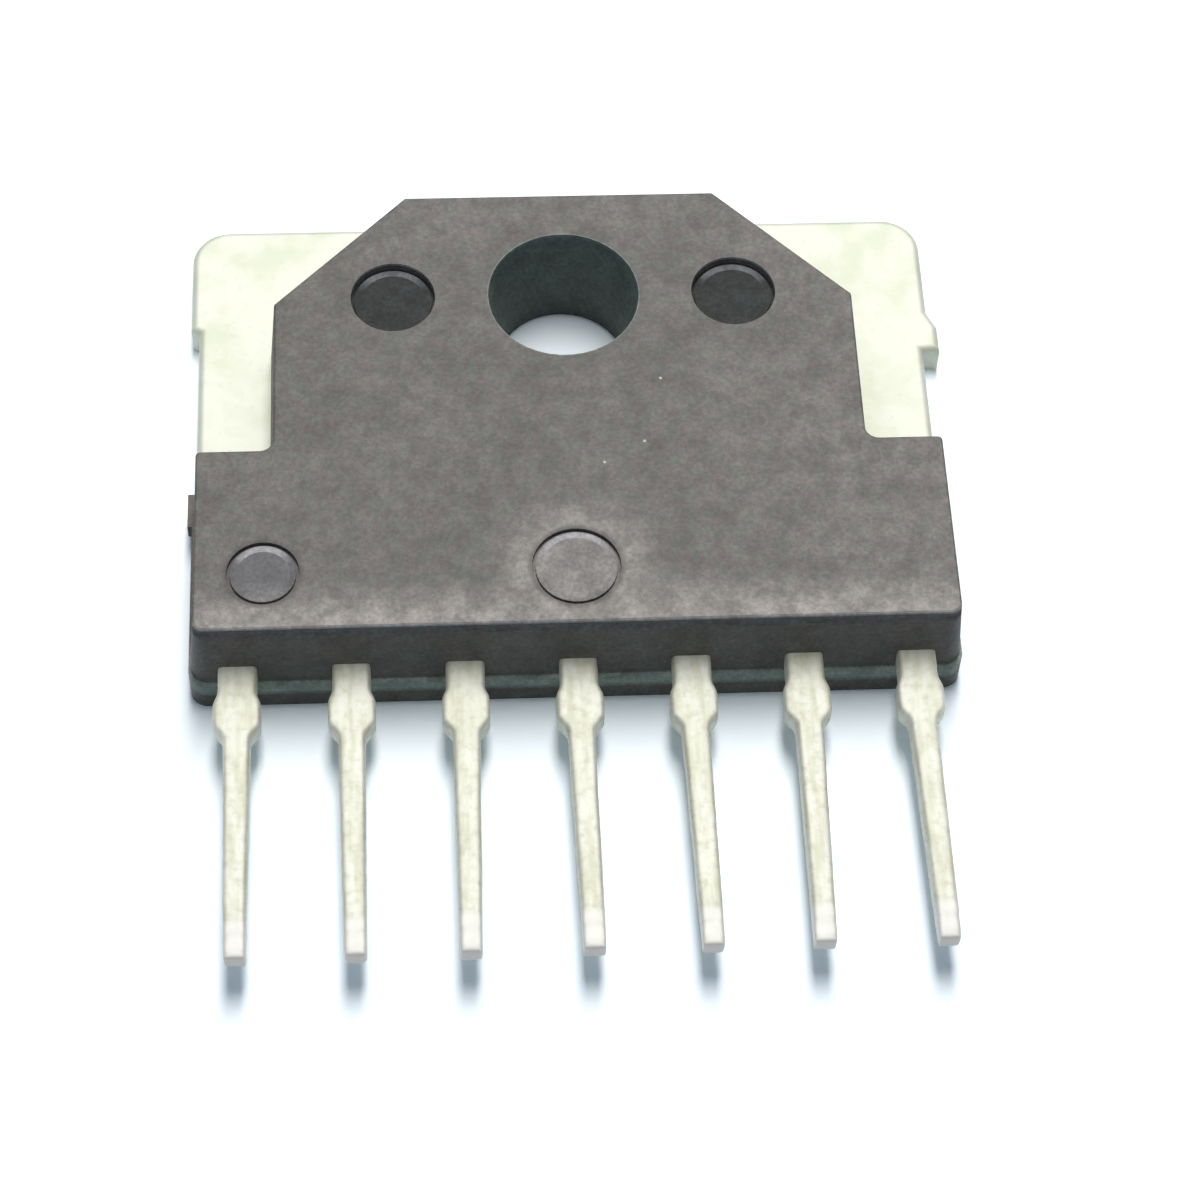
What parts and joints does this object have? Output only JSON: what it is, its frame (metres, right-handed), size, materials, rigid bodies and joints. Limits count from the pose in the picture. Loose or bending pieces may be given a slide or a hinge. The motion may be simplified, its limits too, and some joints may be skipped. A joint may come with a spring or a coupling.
{
  "type": "integrated circuit",
  "caption": "Flat moulded power integrated circuit with a tinned heat spreader tab, one screw hole and a single row of straight flat leads.",
  "frame": {"origin": "the mounting hole's axis at the seating plane, which is the bare back of the heat spreader", "axes": "+Z along the mounting hole, out of the moulded face; the leads run towards -Y; X is across the part, along the row of leads"},
  "size_m": [0.018, 0.02, 0.0029],
  "materials": {
    "moulded_epoxy": "moulded, fine matt grain",
    "tinned_copper": "tin-plated copper, satin",
    "tinned_lead": "tin-plated copper alloy, satin",
    "silicon": "polished chip",
    "die_solder": "dull solder",
    "gold_wire": "drawn gold"
  },
  "bodies": {
    "root": {"moulded_body": "moulded_epoxy", "heat_spreader": "tinned_copper", "lead_1": "tinned_lead", "lead_2": "tinned_lead", "lead_3": "tinned_lead", "lead_4": "tinned_lead", "lead_5": "tinned_lead", "lead_6": "tinned_lead", "lead_7": "tinned_lead", "die": "silicon", "die_solder": "die_solder", "bond_wire_1": "gold_wire", "bond_wire_2": "gold_wire", "bond_wire_3": "gold_wire", "bond_wire_4": "gold_wire", "bond_wire_5": "gold_wire", "bond_wire_6": "gold_wire", "bond_wire_7": "gold_wire"}
  },
  "joints": []
}
